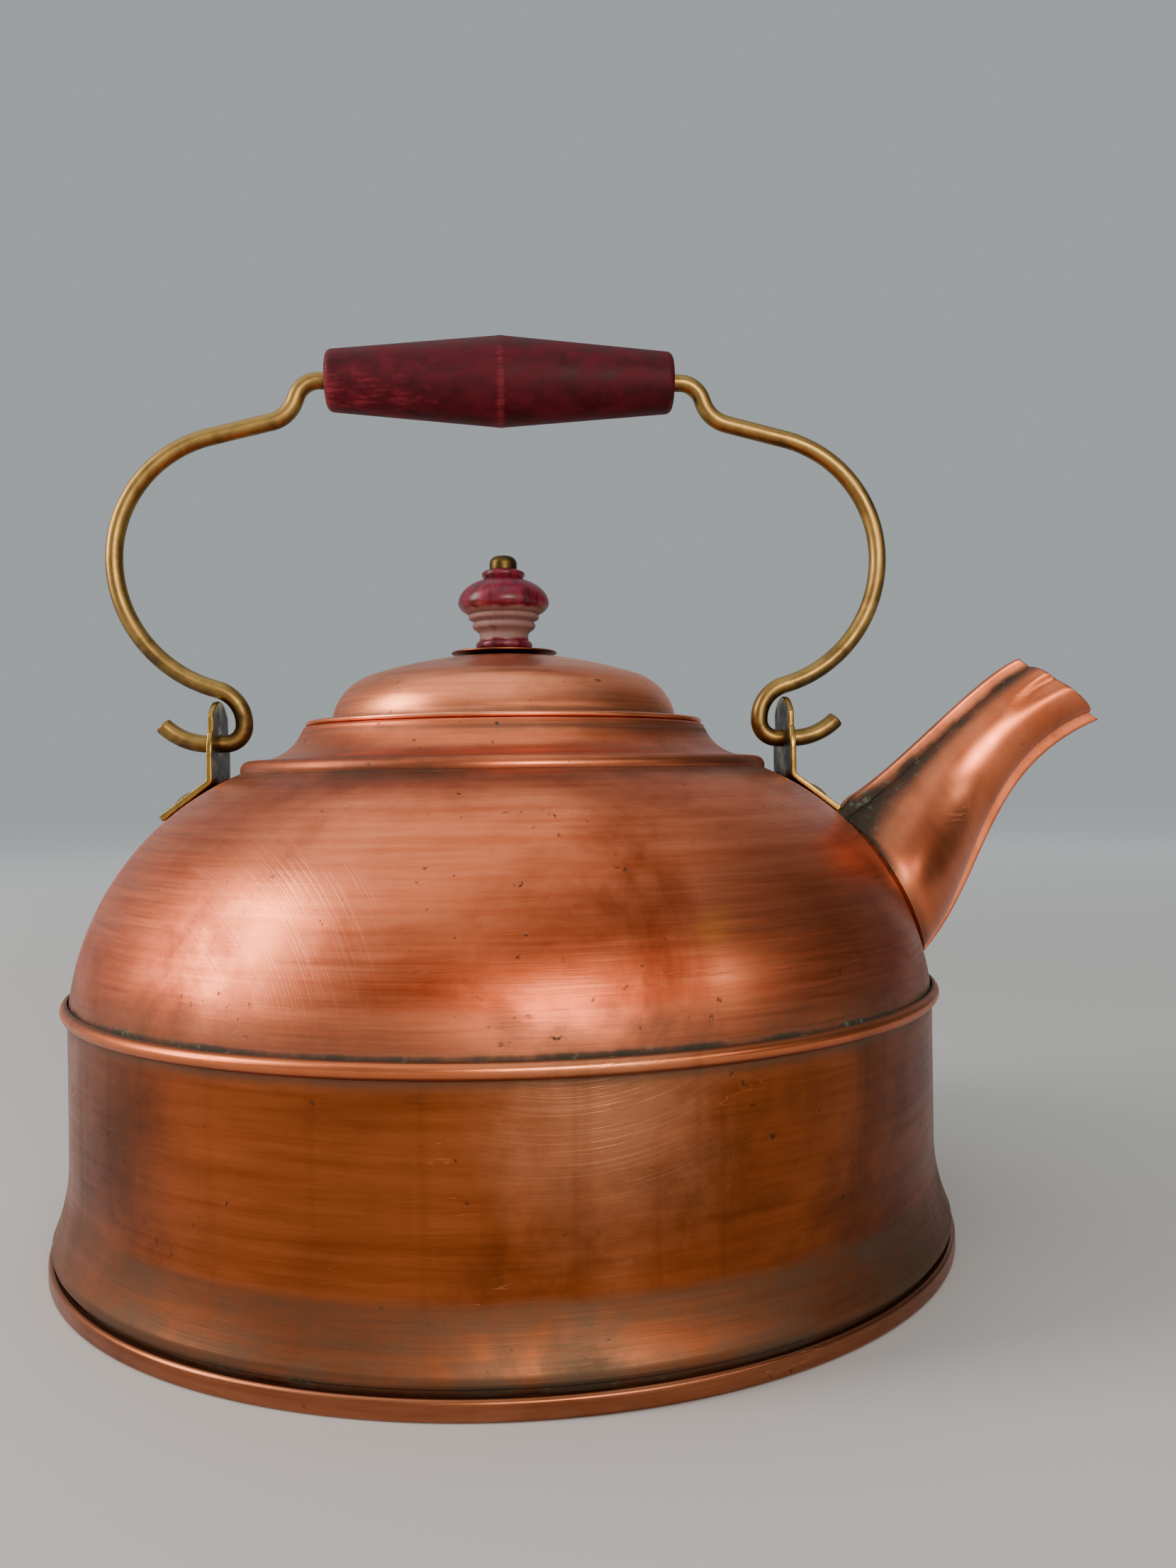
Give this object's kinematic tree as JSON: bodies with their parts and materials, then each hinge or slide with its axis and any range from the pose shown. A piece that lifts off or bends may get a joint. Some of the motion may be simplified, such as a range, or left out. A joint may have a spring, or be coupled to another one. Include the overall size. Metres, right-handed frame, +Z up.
{
  "type": "stovetop kettle",
  "caption": "Round stovetop kettle with a domed shoulder, curved spout, swinging wire bail with a turned grip, and a lift-off lid with a knob.",
  "frame": {"origin": "centre of the flat base's underside, on the kettle's vertical axis", "axes": "+Z up, +X towards the spout's mouth, the bail's hinge line lies along X"},
  "size_m": [0.2794, 0.2302, 0.2355],
  "materials": {
    "copper": "satin polished copper with fine scratches, tarnished in the creases",
    "copper_wall": "satin copper, darker and more stained than the dome",
    "brass": "aged brass, greyed",
    "brass_wire": "aged olive-gold drawn wire",
    "stained_wood": "matte burgundy stain, worn at the ridge",
    "painted_wood": "glossy red paint worn through in streaks"
  },
  "bodies": {
    "body": {"dome_shell": "copper", "side_wall": "copper_wall", "base_disc": "copper_wall", "spout_near": "copper", "spout_far": "copper", "ear_spout_side": "brass", "ear_back_side": "brass", "ear_rivets": "brass", "rivet_burrs": "brass"},
    "bail": {"bail_rod": "brass_wire"},
    "grip": {"grip": "stained_wood"},
    "lid": {"lid_dome": "copper", "lid_collar": "copper", "knob": "painted_wood", "knob_washer": "copper", "knob_screw": "brass", "knob_nut": "brass"}
  },
  "joints": [
    {"name": "bail_swing", "type": "hinge", "parent": "body", "child": "bail", "pos_m": [0, 0, 0.12661], "axis": [1, 0, 0], "range_deg": [-90, 90]},
    {"name": "grip_spin", "type": "hinge", "parent": "bail", "child": "grip", "pos_m": [0, 0, 0.22351], "axis": [1, 0, 0], "continuous": true},
    {"name": "lid_lift", "type": "slide", "parent": "body", "child": "lid", "axis": [0, 0, 1], "range_m": [0, 0.03]}
  ]
}
